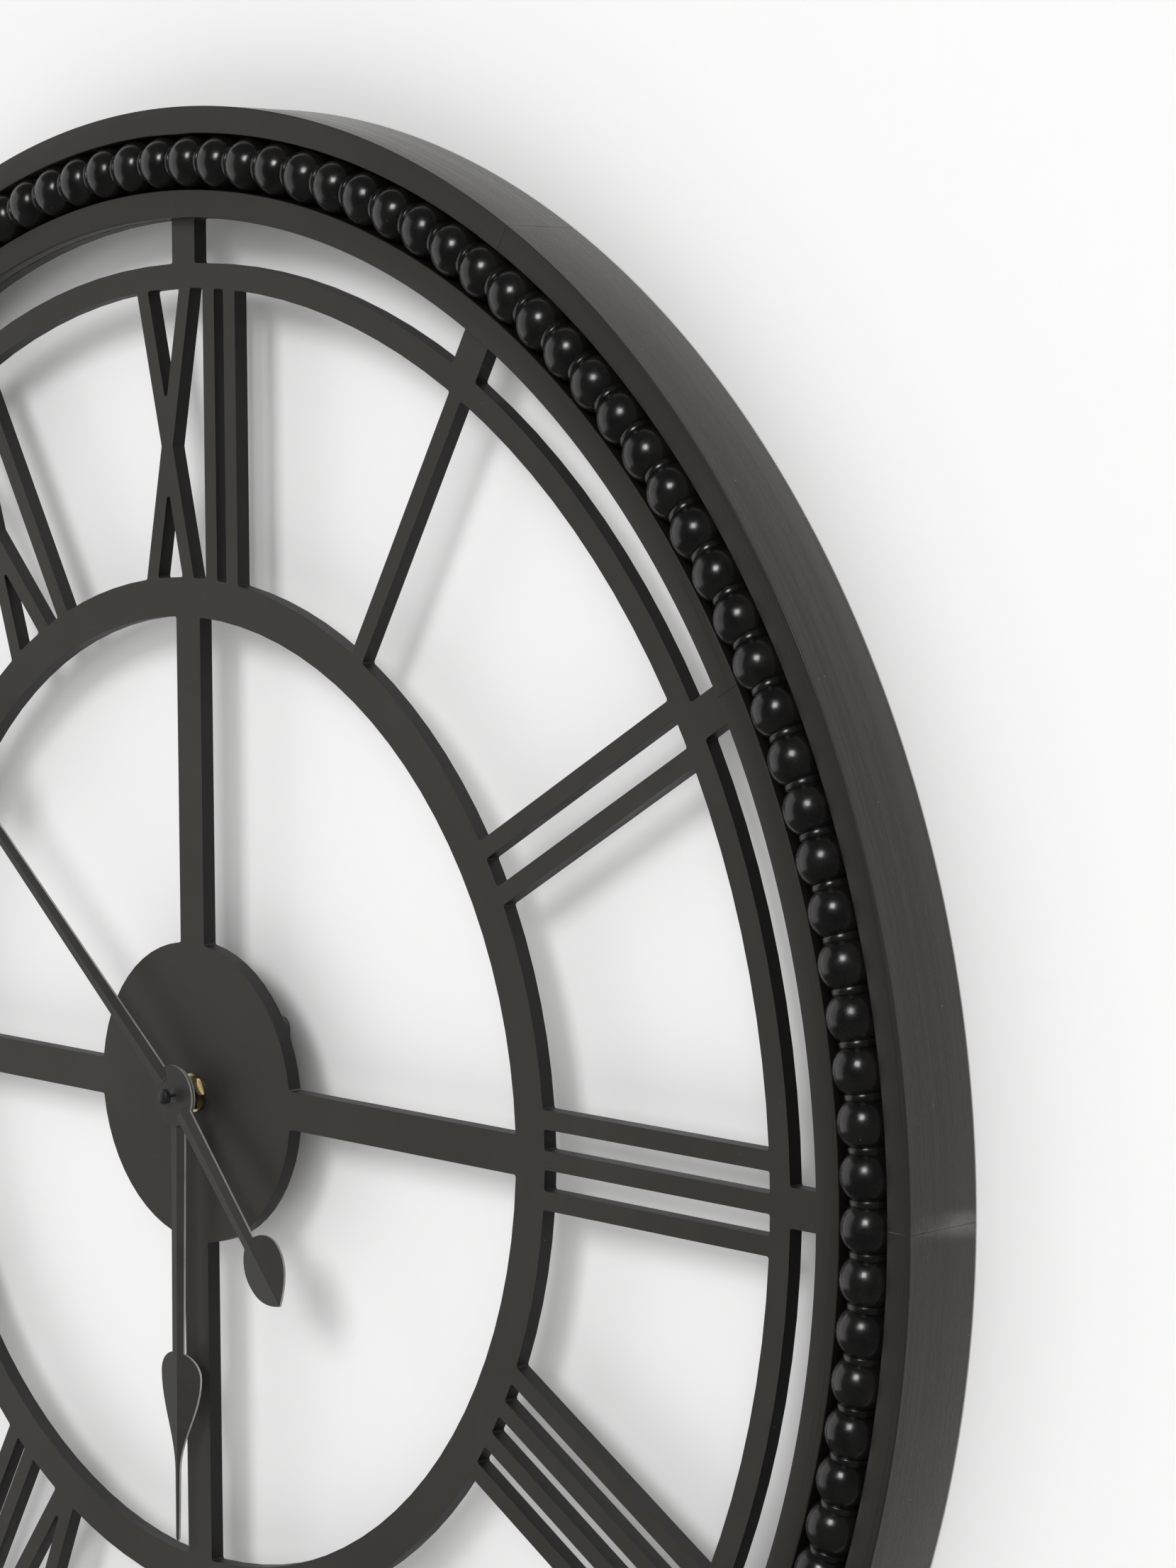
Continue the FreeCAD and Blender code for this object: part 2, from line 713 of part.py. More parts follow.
def makePower():
    middleZ = -halfInside + bayFloor + batteryDiameter / 2
    middleY = caseInside + batteryClearance + batteryDiameter / 2
    right = halfInside - contactThickness
    nub = Part.makeCylinder(nubRadius, 2 * batteryNub, Vector(right - 2 * batteryNub, middleY, middleZ),
                            Vector(1, 0, 0))
    can = Part.makeCylinder(batteryDiameter / 2, batteryLength - batteryNub,
                            Vector(right - batteryLength, middleY, middleZ), Vector(1, 0, 0))
    save("battery", fused([can, nub]))
    stripTop = boardCentre + bayFloor
    stripBack = coverFront - stripSetback
    for side, node in ((1, "contact_plus"), (-1, "contact_minus")):
        outer = side * halfInside
        inner = side * right
        low = min(outer, inner)
        high = max(outer, inner)
        strip = box(low, high, stripBack - stripDepth, stripBack, middleZ, stripTop)
        pad = box(low, high, middleY - padHalf, stripBack, middleZ - padHalf, middleZ + padHalf)
        pieces = [strip, pad]
        if side < 0:
            reach = 2 * halfInside - 2 * contactThickness - batteryLength
            pieces.append(Part.makeCone(springRadius, springTipRadius, reach,
                                        Vector(-right, middleY, middleZ), Vector(1, 0, 0)))
        save(node, fused(pieces))
    boardBack = coverFront - boardSetback
    boardFront = boardBack - boardThickness
    board = box(-right, right, boardFront, boardBack,
                boardCentre - boardHalfHeight, boardCentre + boardHalfHeight)
    chip = box(-chipHalfLength, chipHalfLength, boardFront - chipThickness, boardFront,
               boardCentre - chipHalfHeight, boardCentre + chipHalfHeight)
    save("circuit_board", fused([board, chip]))


def makeMotor():
    front = layer(statorLayer)
    coreFront = front + laminationThickness
    bar = box(legLeft, legRight, front, coreFront, rotorZ - barHalfWidth, rotorZ + barHalfWidth)
    block = box(rotorX - poleHalfWidth, rotorX + poleHalfWidth, front, coreFront,
                rotorZ - poleHalfHeight, rotorZ + poleHalfHeight)
    legs = [box(x, x + legWidth, front, coreFront, rotorZ - barHalfWidth, boardCentre + coreHalf)
            for x in (legLeft, legRight - legWidth)]
    bore = disc(magnetRadius + airGap, front - 1, laminationThickness + 2, rotorX, rotorZ)
    save("stator", fused([bar, block] + legs).cut(bore))
    core = box(legLeft, legRight, coreFront, coreFront + laminationThickness,
               boardCentre - coreHalf, boardCentre + coreHalf)
    save("coil_core", core)
    start = legLeft + legWidth + coilGap
    length = legRight - legLeft - 2 * (legWidth + coilGap)
    middleY = coreFront + laminationThickness / 2
    along = Vector(1, 0, 0)
    bobbin = fused([
        Part.makeCylinder(spoolRadius, length, Vector(start, middleY, boardCentre), along),
        Part.makeCylinder(cheekRadius, cheekThickness, Vector(start, middleY, boardCentre), along),
        Part.makeCylinder(cheekRadius, cheekThickness,
                          Vector(start + length - cheekThickness, middleY, boardCentre), along)])
    save("coil_bobbin", bobbin.cut(core))
    windingStart = Vector(start + cheekThickness, middleY, boardCentre)
    windingLength = length - 2 * cheekThickness
    winding = Part.makeCylinder(windingRadius, windingLength, windingStart, along)
    save("coil_winding", winding.cut(Part.makeCylinder(spoolRadius, windingLength, windingStart, along)))


# Hands are drawn pointing up and then turned; the sheet is creased along its length

def creasedBlade(outline, front):
    """Blade of creased sheet: the crease line stands forward and both halves slope back."""
    widest = max(abs(x) for x, z in outline) + 1
    low = min(z for x, z in outline) - 1
    high = max(z for x, z in outline) + 1
    drop = widest * creaseDrop
    profile = [Vector(-widest, front + drop, low), Vector(0, front, low), Vector(widest, front + drop, low),
               Vector(widest, front + drop + sheetThickness, low), Vector(0, front + sheetThickness, low),
               Vector(-widest, front + drop + sheetThickness, low)]
    sheet = Part.Face(Part.makePolygon(profile + profile[:1])).extrude(Vector(0, 0, high - low))
    return sheet.common(prism(outline, front - 1, drop + sheetThickness + 2))


def mirrored(right):
    """Closed outline from its right-hand side, listed from the root to the tip."""
    return right + [(-x, z) for x, z in reversed(right) if abs(x) > 0.001]


def shoulder(rootHalf, start, widest):
    """Right-hand side of a leaf's round shoulder, from its stem out to its widest point."""
    first = math.asin(rootHalf / leafHalfWidth)
    points = []
    for step in range(leafSteps + 1):
        angle = first + (math.pi / 2 - first) * step / leafSteps
        points.append((leafHalfWidth * math.sin(angle), widest - (widest - start) * math.cos(angle)))
    return points


def needleFlank(widest, end):
    """Flank that eases from a leaf's widest point into a needle."""
    points = []
    for step in range(1, flankSteps + 1):
        share = step / flankSteps
        ease = (1 + math.cos(math.pi * share)) / 2
        half = needleHalfWidth + (leafHalfWidth - needleHalfWidth) * ease
        points.append((half, widest + (end - widest) * share))
    return points


def pointedFlank(widest, end):
    """Flank that closes from a leaf's widest point to a point on the centre line."""
    points = []
    for step in range(1, flankSteps + 1):
        share = step / flankSteps
        points.append((leafHalfWidth * (1 - share ** tailPointing), widest + (end - widest) * share))
    return points


def spadeArm(eye, rootHalf, stemHalf, spadeStart, needleStart, length):
    """Outline of an arm that carries a spade and a needle beyond it."""
    widest = spadeStart + shoulderHeight
    right = [(rootHalf, eye - eyeOverlap)] + shoulder(stemHalf, spadeStart, widest)
    right += needleFlank(widest, needleStart)
    right += [(needleHalfWidth * needleTipShare, length - needleHalfWidth), (0.0, length)]
    return mirrored(right)


def makeHand(node, eye, hole, arms, front, angle, lean):
    pieces = []
    for outline, side in arms:
        blade = creasedBlade(outline, front)
        blade.rotate(Vector(0, front + sheetThickness, 0), Vector(1, 0, 0), lean)
        if side < 0:
            blade.rotate(Vector(0, 0, 0), Vector(0, 1, 0), 180)
        pieces.append(blade)
    hub = disc(eye, front, sheetThickness)
    hand = fused([hub] + pieces).cut(disc(hole / 2, front - 5, 10))
    save(node, turned(hand, angle))


def makeHands():
    minuteArm = spadeArm(eyeRadius, minuteRootHalf, minuteStemHalf,
                         minuteSpadeStart, minuteNeedleStart, minuteLength)
    hourArm = spadeArm(hourEyeRadius, hourRootHalf, hourStemHalf, hourSpadeStart, hourNeedleStart, hourLength)
    tailArm = mirrored([(minuteRootHalf, eyeRadius - eyeOverlap)]
                       + shoulder(tailStemHalf, tailLeafStart, tailLeafWidest)
                       + pointedFlank(tailLeafWidest, minuteTail))
    makeHand("minute_hand", eyeRadius, minuteHole, [(minuteArm, 1), (tailArm, -1)],
             minuteFront, minuteAngle, minuteLean)
    makeHand("hour_hand", hourEyeRadius, hourHole, [(hourArm, 1)], hourFront, hourAngle, hourLean)
    save("minute_collet", tube(minuteHole / 2, arborDiameter / 2, minuteFront + minuteColletSetback,
                               minuteColletLength))
    save("hour_collet", tube(hourHole / 2, pipeDiameter / 2, hourFront, hourColletLength))


os.makedirs("parts", exist_ok=True)
makeHoop()
makeBezel()
makeBackRing()
makeBeads()
makeDial()
makeHanger()
makeTrain()
makeCase()
makeCover()
makeBushing()
makeHubHardware()
makePower()
makeMotor()
makeHands()
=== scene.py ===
import math

import bpy
from mathutils import Matrix, Vector


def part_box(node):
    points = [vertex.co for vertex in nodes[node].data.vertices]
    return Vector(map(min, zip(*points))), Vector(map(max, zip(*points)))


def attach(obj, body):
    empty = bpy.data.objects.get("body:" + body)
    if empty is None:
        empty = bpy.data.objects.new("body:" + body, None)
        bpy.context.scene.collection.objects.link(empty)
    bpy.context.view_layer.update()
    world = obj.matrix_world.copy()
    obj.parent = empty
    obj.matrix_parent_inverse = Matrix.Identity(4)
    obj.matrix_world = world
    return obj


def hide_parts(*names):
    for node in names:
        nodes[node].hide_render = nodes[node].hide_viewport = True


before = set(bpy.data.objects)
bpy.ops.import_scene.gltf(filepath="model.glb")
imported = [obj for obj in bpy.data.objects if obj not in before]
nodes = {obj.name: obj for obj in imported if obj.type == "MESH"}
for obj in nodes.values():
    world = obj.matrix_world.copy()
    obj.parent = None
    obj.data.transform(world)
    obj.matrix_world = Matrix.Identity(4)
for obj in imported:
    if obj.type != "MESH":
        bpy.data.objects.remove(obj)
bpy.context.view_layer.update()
mm = 0.001


# Small helpers for working by hand in the viewport

def deselectAll():
    if bpy.context.mode != "OBJECT":
        bpy.ops.object.mode_set(mode="OBJECT")
    bpy.ops.object.select_all(action="DESELECT")


def selectOnly(piece):
    deselectAll()
    piece.select_set(True)
    bpy.context.view_layer.objects.active = piece


def startPiece(name):
    piece = bpy.context.view_layer.objects.active
    piece.name = name
    piece.data.name = name
    bpy.ops.object.transform_apply(location=True, rotation=True, scale=True)
    return piece


def pick(piece, wanted, mode="FACE"):
    # wanted takes a face, edge or vertex of the mesh and says whether it is selected
    bpy.ops.object.mode_set(mode="EDIT")
    bpy.ops.mesh.select_mode(type=mode)
    bpy.ops.mesh.select_all(action="DESELECT")
    bpy.ops.object.mode_set(mode="OBJECT")
    mesh = piece.data
    parts = {"FACE": mesh.polygons, "EDGE": mesh.edges, "VERT": mesh.vertices}[mode]
    for part in parts:
        part.select = bool(wanted(part))
    bpy.ops.object.mode_set(mode="EDIT")


def closeUp(piece, gap=0.00001, angle=30):
    # merge doubles, turn the faces outwards and smooth
    selectOnly(piece)
    bpy.ops.object.mode_set(mode="EDIT")
    bpy.ops.mesh.select_all(action="SELECT")
    bpy.ops.mesh.remove_doubles(threshold=gap)
    bpy.ops.mesh.normals_make_consistent(inside=False)
    bpy.ops.object.mode_set(mode="OBJECT")
    bpy.ops.object.shade_smooth_by_angle(angle=math.radians(angle))


def turnedCopy(piece, name, clockwise):
    # a copy with its own mesh, turned about the dial axis
    twin = piece.copy()
    twin.data = piece.data.copy()
    twin.name = name
    twin.data.name = name
    bpy.context.collection.objects.link(twin)
    twin.data.transform(Matrix.Rotation(math.radians(clockwise), 4, "Y"))
    return twin


def clockAngle(nodeName):
    # angle of a node's middle, clockwise from twelve
    low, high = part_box(nodeName)
    return math.degrees(math.atan2((low[0] + high[0]) / 2, (low[2] + high[2]) / 2)) % 360


# Camera, wall, floor and light

cameraLook = {
    "location": (1.14793, -0.91765, 0.24744),
    "tilt": 84.606,
    "roll": 0.22,
    "turn": 46.489,
    "lens": 93.53,
}


def addCamera():
    camera = bpy.data.cameras.new("camera")
    camera.lens = cameraLook["lens"]
    camera.sensor_width = 36
    camera.clip_start = 0.01
    holder = bpy.data.objects.new("camera", camera)
    holder.location = cameraLook["location"]
    holder.rotation_euler = [math.radians(cameraLook[key]) for key in ("tilt", "roll", "turn")]
    bpy.context.collection.objects.link(holder)
    bpy.context.scene.camera = holder


stageLook = {
    "patchy": 0.985,
    "wallGap": 0.0005,
    "wallSize": 9.0,
    "wallTone": (0.86, 0.86, 0.86),
    "floorHeight": -1.25,
    "floorTone": (0.80, 0.80, 0.79),
    "roomTone": (0.93, 0.93, 0.93),
    "roomLight": 0.42,
    "roomReflection": 0.07,
}


def stageMaterial(name, tone):
    material = bpy.data.materials.new(name)
    material.use_nodes = True
    tree = material.node_tree
    shader = tree.nodes["Principled BSDF"]
    shader.inputs["Roughness"].default_value = 0.9
    shader.inputs["Specular IOR Level"].default_value = 0.1
    noise = tree.nodes.new("ShaderNodeTexNoise")
    noise.inputs["Scale"].default_value = 3.0
    ramp = tree.nodes.new("ShaderNodeMix")
    ramp.data_type = "RGBA"
    ramp.inputs[6].default_value = (*(value * stageLook["patchy"] for value in tone), 1)
    ramp.inputs[7].default_value = (*tone, 1)
    coords = tree.nodes.new("ShaderNodeTexCoord")
    tree.links.new(coords.outputs["Object"], noise.inputs["Vector"])
    tree.links.new(noise.outputs["Fac"], ramp.inputs["Factor"])
    tree.links.new(ramp.outputs[2], shader.inputs["Base Color"])
    # clear from behind, so the clock's back can be seen through the wall
    clear = tree.nodes.new("ShaderNodeBsdfTransparent")
    side = tree.nodes.new("ShaderNodeNewGeometry")
    mix = tree.nodes.new("ShaderNodeMixShader")
    tree.links.new(side.outputs["Backfacing"], mix.inputs[0])
    tree.links.new(shader.outputs[0], mix.inputs[1])
    tree.links.new(clear.outputs[0], mix.inputs[2])
    tree.links.new(mix.outputs[0], tree.nodes["Material Output"].inputs["Surface"])
    return material


def addStage():
    deselectAll()
    bpy.ops.mesh.primitive_plane_add(size=stageLook["wallSize"], location=(0, stageLook["wallGap"], 0),
                                     rotation=(math.radians(90), 0, 0))
    wall = startPiece("wall")
    wall.data.materials.append(stageMaterial("wallPaint", stageLook["wallTone"]))
    wall.visible_shadow = False
    deselectAll()
    bpy.ops.mesh.primitive_plane_add(size=stageLook["wallSize"], location=(0, 0, stageLook["floorHeight"]))
    floor = startPiece("floor")
    floor.data.materials.append(stageMaterial("floorPaint", stageLook["floorTone"]))
    floor.visible_glossy = False

    world = bpy.data.worlds.new("room")
    bpy.context.scene.world = world
    world.use_nodes = True
    tree = world.node_tree
    room = tree.nodes["Background"]
    room.inputs["Color"].default_value = (*stageLook["roomTone"], 1)
    room.inputs["Strength"].default_value = stageLook["roomLight"]
    seen = tree.nodes.new("ShaderNodeBackground")
    seen.inputs["Color"].default_value = (*stageLook["roomTone"], 1)
    mirrored = tree.nodes.new("ShaderNodeBackground")
    mirrored.inputs["Color"].default_value = (*stageLook["roomTone"], 1)
    mirrored.inputs["Strength"].default_value = stageLook["roomReflection"]
    path = tree.nodes.new("ShaderNodeLightPath")
    lit = tree.nodes.new("ShaderNodeMixShader")
    tree.links.new(path.outputs["Is Glossy Ray"], lit.inputs[0])
    tree.links.new(room.outputs[0], lit.inputs[1])
    tree.links.new(mirrored.outputs[0], lit.inputs[2])
    mix = tree.nodes.new("ShaderNodeMixShader")
    tree.links.new(path.outputs["Is Camera Ray"], mix.inputs[0])
    tree.links.new(lit.outputs[0], mix.inputs[1])
    tree.links.new(seen.outputs[0], mix.inputs[2])
    tree.links.new(mix.outputs[0], tree.nodes["World Output"].inputs["Surface"])


# place, point aimed at, size across and up, power, whether its reflection is seen
lights = {
    "keySoftbox": ((1.80, -5.0, 2.75), (0, 0, 0.0), (1.7, 1.7), 112, True),
    "rightFill": ((3.4, -4.4, 1.7), (0, 0, 0.0), (3.0, 3.0), 108, False),
    "leftPanel": ((-1.65, -0.95, 0.2), (0, 0, 0.0), (1.9, 2.4), 9.5, True),
    "backFill": ((-0.6, 2.2, 1.2), (0, 0, 0), (2.4, 2.4), 34, True),
}


def addLights():
    for name, (place, target, size, power, reflected) in lights.items():
        light = bpy.data.lights.new(name, "AREA")
        light.shape = "RECTANGLE"
        light.size, light.size_y = size
        light.energy = power
        holder = bpy.data.objects.new(name, light)
        holder.location = place
        holder.rotation_euler = (Vector(target) - Vector(place)).to_track_quat("-Z", "Y").to_euler()
        holder.visible_camera = False
        holder.visible_glossy = reflected
        bpy.context.collection.objects.link(holder)


addCamera()
addStage()
addLights()
bpy.context.scene.view_settings.view_transform = "Standard"
print("stage: camera, wall, floor and", len(lights), "lights")


# Shared effects, each a node group with its own inputs and outputs

def newGroup(name, inputs, outputs):
    group = bpy.data.node_groups.new(name, "ShaderNodeTree")
    for socketName, value in inputs.items():
        socket = group.interface.new_socket(name=socketName, in_out="INPUT", socket_type="NodeSocketFloat")
        socket.default_value = value
    for socketName in outputs:
        group.interface.new_socket(name=socketName, in_out="OUTPUT", socket_type="NodeSocketFloat")
    return group, group.nodes.new("NodeGroupInput"), group.nodes.new("NodeGroupOutput")


def addMath(tree, operation, first, second=None, third=None):
    node = tree.nodes.new("ShaderNodeMath")
    node.operation = operation
    for index, value in enumerate((first, second, third)):
        if value is None:
            continue
        if isinstance(value, (int, float)):
            node.inputs[index].default_value = value
        else:
            tree.links.new(value, node.inputs[index])
    return node.outputs[0]


def addRange(tree, value, low, high, toLow=0.0, toHigh=1.0):
    node = tree.nodes.new("ShaderNodeMapRange")
    node.interpolation_type = "SMOOTHSTEP"
    tree.links.new(value, node.inputs["Value"])
    for key, number in (("From Min", low), ("From Max", high), ("To Min", toLow), ("To Max", toHigh)):
        if isinstance(number, (int, float)):
            node.inputs[key].default_value = number
        else:
            tree.links.new(number, node.inputs[key])
    return node.outputs["Result"]


def addNoise(tree, vector, scale, detail=2.0, roughness=0.5, w=None):
    node = tree.nodes.new("ShaderNodeTexNoise")
    node.noise_dimensions = "3D" if w is None else "4D"
    if w is not None:
        tree.links.new(w, node.inputs["W"])
    tree.links.new(vector, node.inputs["Vector"])
    if isinstance(scale, (int, float)):
        node.inputs["Scale"].default_value = scale
    else:
        tree.links.new(scale, node.inputs["Scale"])
    node.inputs["Detail"].default_value = detail
    node.inputs["Roughness"].default_value = roughness
    return node.outputs["Fac"]


def objectPoint(tree):
    return tree.nodes.new("ShaderNodeTexCoord").outputs["Object"]


def makeTurningStreaks():
    # fine lines that run round the dial axis, on a turned side or a brushed face
    group, given, out = newGroup("turningStreaks", {"Along": 5.0, "Across": 900.0, "Contrast": 0.5},
                                 ("Streak", "Fine"))
    split = group.nodes.new("ShaderNodeSeparateXYZ")
    group.links.new(objectPoint(group), split.inputs[0])
    flat = addMath(group, "ADD", addMath(group, "MULTIPLY", split.outputs["X"], split.outputs["X"]),
                   addMath(group, "MULTIPLY", split.outputs["Z"], split.outputs["Z"]))
    radius = addMath(group, "SQRT", flat)
    joined = group.nodes.new("ShaderNodeCombineXYZ")
    for axis, speed in (("X", "Along"), ("Y", "Across"), ("Z", "Along")):
        scaled = addMath(group, "MULTIPLY", split.outputs[axis], given.outputs[speed])
        group.links.new(scaled, joined.inputs[axis])
    reach = addMath(group, "MULTIPLY", radius, given.outputs["Across"])
    broad = addNoise(group, joined.outputs[0], 0.35, 2.0, 0.55, reach)
    fine = addNoise(group, joined.outputs[0], 1.6, 3.0, 0.7, reach)
    low = addMath(group, "MULTIPLY_ADD", given.outputs["Contrast"], -0.28, 0.5)
    high = addMath(group, "MULTIPLY_ADD", given.outputs["Contrast"], 0.28, 0.5)
    both = addMath(group, "MULTIPLY_ADD", fine, 0.5, addMath(group, "MULTIPLY", broad, 0.5))
    group.links.new(addRange(group, both, 0.36, 0.64), out.inputs["Fine"])
    ranged = addMath(group, "MULTIPLY", addMath(group, "SUBTRACT", both, low),
                     addMath(group, "DIVIDE", 1.0, addMath(group, "SUBTRACT", high, low)))
    clipped = addMath(group, "MINIMUM", addMath(group, "MAXIMUM", ranged, 0.0), 1.0)
    group.links.new(clipped, out.inputs["Streak"])
    return group


def makePaintMottle():
    # slow clouds in a sprayed coat and its fine orange peel
    group, given, out = newGroup("paintMottle", {"Clouds": 14.0, "Peel": 650.0}, ("Cloud", "Peel"))
    point = objectPoint(group)
    group.links.new(addRange(group, addNoise(group, point, given.outputs["Clouds"], 4.0, 0.6), 0.3, 0.7),
                    out.inputs["Cloud"])
    group.links.new(addNoise(group, point, given.outputs["Peel"], 2.0, 0.6), out.inputs["Peel"])
    return group


def makeDustSpecks():
    # scattered pale specks and tiny pits
    group, given, out = newGroup("dustSpecks", {"Spacing": 190.0, "Size": 0.06, "Amount": 0.25},
                                 ("Speck", "Pit"))
    point = objectPoint(group)
    cells = group.nodes.new("ShaderNodeTexVoronoi")
    group.links.new(point, cells.inputs["Vector"])
    group.links.new(given.outputs["Spacing"], cells.inputs["Scale"])
    split = group.nodes.new("ShaderNodeSeparateColor")
    group.links.new(cells.outputs["Color"], split.inputs[0])
    size = addMath(group, "MULTIPLY", given.outputs["Size"], addMath(group, "ADD", split.outputs[1], 0.4))
    near = addMath(group, "LESS_THAN", cells.outputs["Distance"], size)
    some = addMath(group, "LESS_THAN", split.outputs[0], given.outputs["Amount"])
    cutoff = addMath(group, "SUBTRACT", 1.0, given.outputs["Amount"])
    dark = addMath(group, "GREATER_THAN", split.outputs[0], cutoff)
    group.links.new(addMath(group, "MULTIPLY", near, some), out.inputs["Speck"])
    group.links.new(addMath(group, "MULTIPLY", near, dark), out.inputs["Pit"])
    return group


def makeEdgeWear():
    # rubbed edges, from the sharpness of the mesh, broken up by a noise
    group, given, out = newGroup("edgeWear", {"Start": 0.53, "Patchy": 60.0}, ("Wear",))
    sharp = group.nodes.new("ShaderNodeNewGeometry").outputs["Pointiness"]
    edge = addRange(group, sharp, given.outputs["Start"], addMath(group, "ADD", given.outputs["Start"], 0.09))
    patch = addRange(group, addNoise(group, objectPoint(group), given.outputs["Patchy"], 4.0, 0.65), 0.35, 0.62)
    group.links.new(addMath(group, "MULTIPLY", edge, patch), out.inputs["Wear"])
    return group


def makeFacing():
    # how far a face looks along the dial axis: 1 on front and back, 0 on the cut sides
    group, given, out = newGroup("facing", {"Start": 0.55}, ("Front",))
    split = group.nodes.new("ShaderNodeSeparateXYZ")
    group.links.new(group.nodes.new("ShaderNodeNewGeometry").outputs["True Normal"], split.inputs[0])
    side = addMath(group, "ABSOLUTE", split.outputs["Y"])
    group.links.new(addRange(group, side, given.outputs["Start"],
                             addMath(group, "ADD", given.outputs["Start"], 0.2)), out.inputs["Front"])
    return group


effects = {
    "streaks": makeTurningStreaks(),
    "mottle": makePaintMottle(),
    "specks": makeDustSpecks(),
    "wear": makeEdgeWear(),
    "facing": makeFacing(),
}


def place(tree, effect, **values):
    node = tree.nodes.new("ShaderNodeGroup")
    node.node_tree = effects[effect]
    for key, value in values.items():
        node.inputs[key].default_value = value
    return node.outputs


def mixTones(tree, factor, first, second):
    node = tree.nodes.new("ShaderNodeMix")
    node.data_type = "RGBA"
    tree.links.new(factor, node.inputs["Factor"])
    for index, tone in ((6, first), (7, second)):
        if isinstance(tone, tuple):
            node.inputs[index].default_value = (*tone, 1)
        else:
            tree.links.new(tone, node.inputs[index])
    return node.outputs[2]


def addBump(tree, shader, height, strength, distance):
    bump = tree.nodes.new("ShaderNodeBump")
    bump.inputs["Strength"].default_value = strength
    bump.inputs["Distance"].default_value = distance
    tree.links.new(height, bump.inputs["Height"])
    tree.links.new(bump.outputs["Normal"], shader.inputs["Normal"])
    return bump


def newMaterial(name, **sockets):
    material = bpy.data.materials.new(name)
    material.use_nodes = True
    shader = material.node_tree.nodes["Principled BSDF"]
    for key, value in sockets.items():
        shader.inputs[key.replace("_", " ")].default_value = value
    return material, material.node_tree, shader


# Satin paints. dark and light are the two ends of the coat's own variation.
paints = {
    "hoopPaint": {"dark": (0.0120, 0.0105, 0.0083), "light": (0.026, 0.0228, 0.0180),
                  "side": (0.028, 0.0245, 0.0194),
                  "along": 7.0, "across": 1500.0, "contrast": 0.6, "gloss": (0.36, 0.50),
                  "sideGloss": (0.20, 0.38), "specks": 0.26, "wear": 0.7, "bump": 0.24, "shine": 0.42},
    "bezelPaint": {"dark": (0.0180, 0.0160, 0.0128), "light": (0.027, 0.0240, 0.0192),
                  "side": (0.010, 0.0089, 0.0072),
                   "along": 12.0, "across": 700.0, "contrast": 0.40, "gloss": (0.38, 0.50),
                   "sideGloss": (0.40, 0.50), "specks": 0.14, "wear": 0.45, "bump": 0.12, "shine": 0.32},
    "ringPaint": {"dark": (0.009, 0.0085, 0.008), "light": (0.015, 0.0142, 0.0132),
                  "side": (0.010, 0.0093, 0.0085),
                  "along": 10.0, "across": 500.0, "contrast": 0.35, "gloss": (0.50, 0.62),
                  "sideGloss": (0.50, 0.62), "specks": 0.20, "wear": 0.1, "bump": 0.15, "shine": 0.35},
    "dialPaint": {"dark": (0.024, 0.0214, 0.0172), "light": (0.036, 0.0322, 0.0260),
                  "side": (0.0055, 0.0049, 0.0040),
                  "along": 30.0, "across": 40.0, "contrast": 0.45, "gloss": (0.40, 0.52),
                  "sideGloss": (0.50, 0.60), "specks": 0.12, "wear": 0.4, "bump": 0.13, "shine": 0.32},
    # the hands' pale side tone is a painted highlight along their cut edges
    "handPaint": {"dark": (0.020, 0.0190, 0.0172), "light": (0.027, 0.0256, 0.0232),
                  "side": (0.34, 0.332, 0.315),
                  "along": 20.0, "across": 60.0, "contrast": 0.3, "gloss": (0.34, 0.42),
                  "sideGloss": (0.30, 0.40), "specks": 0.10, "wear": 0.25, "bump": 0.06, "shine": 0.35},
}


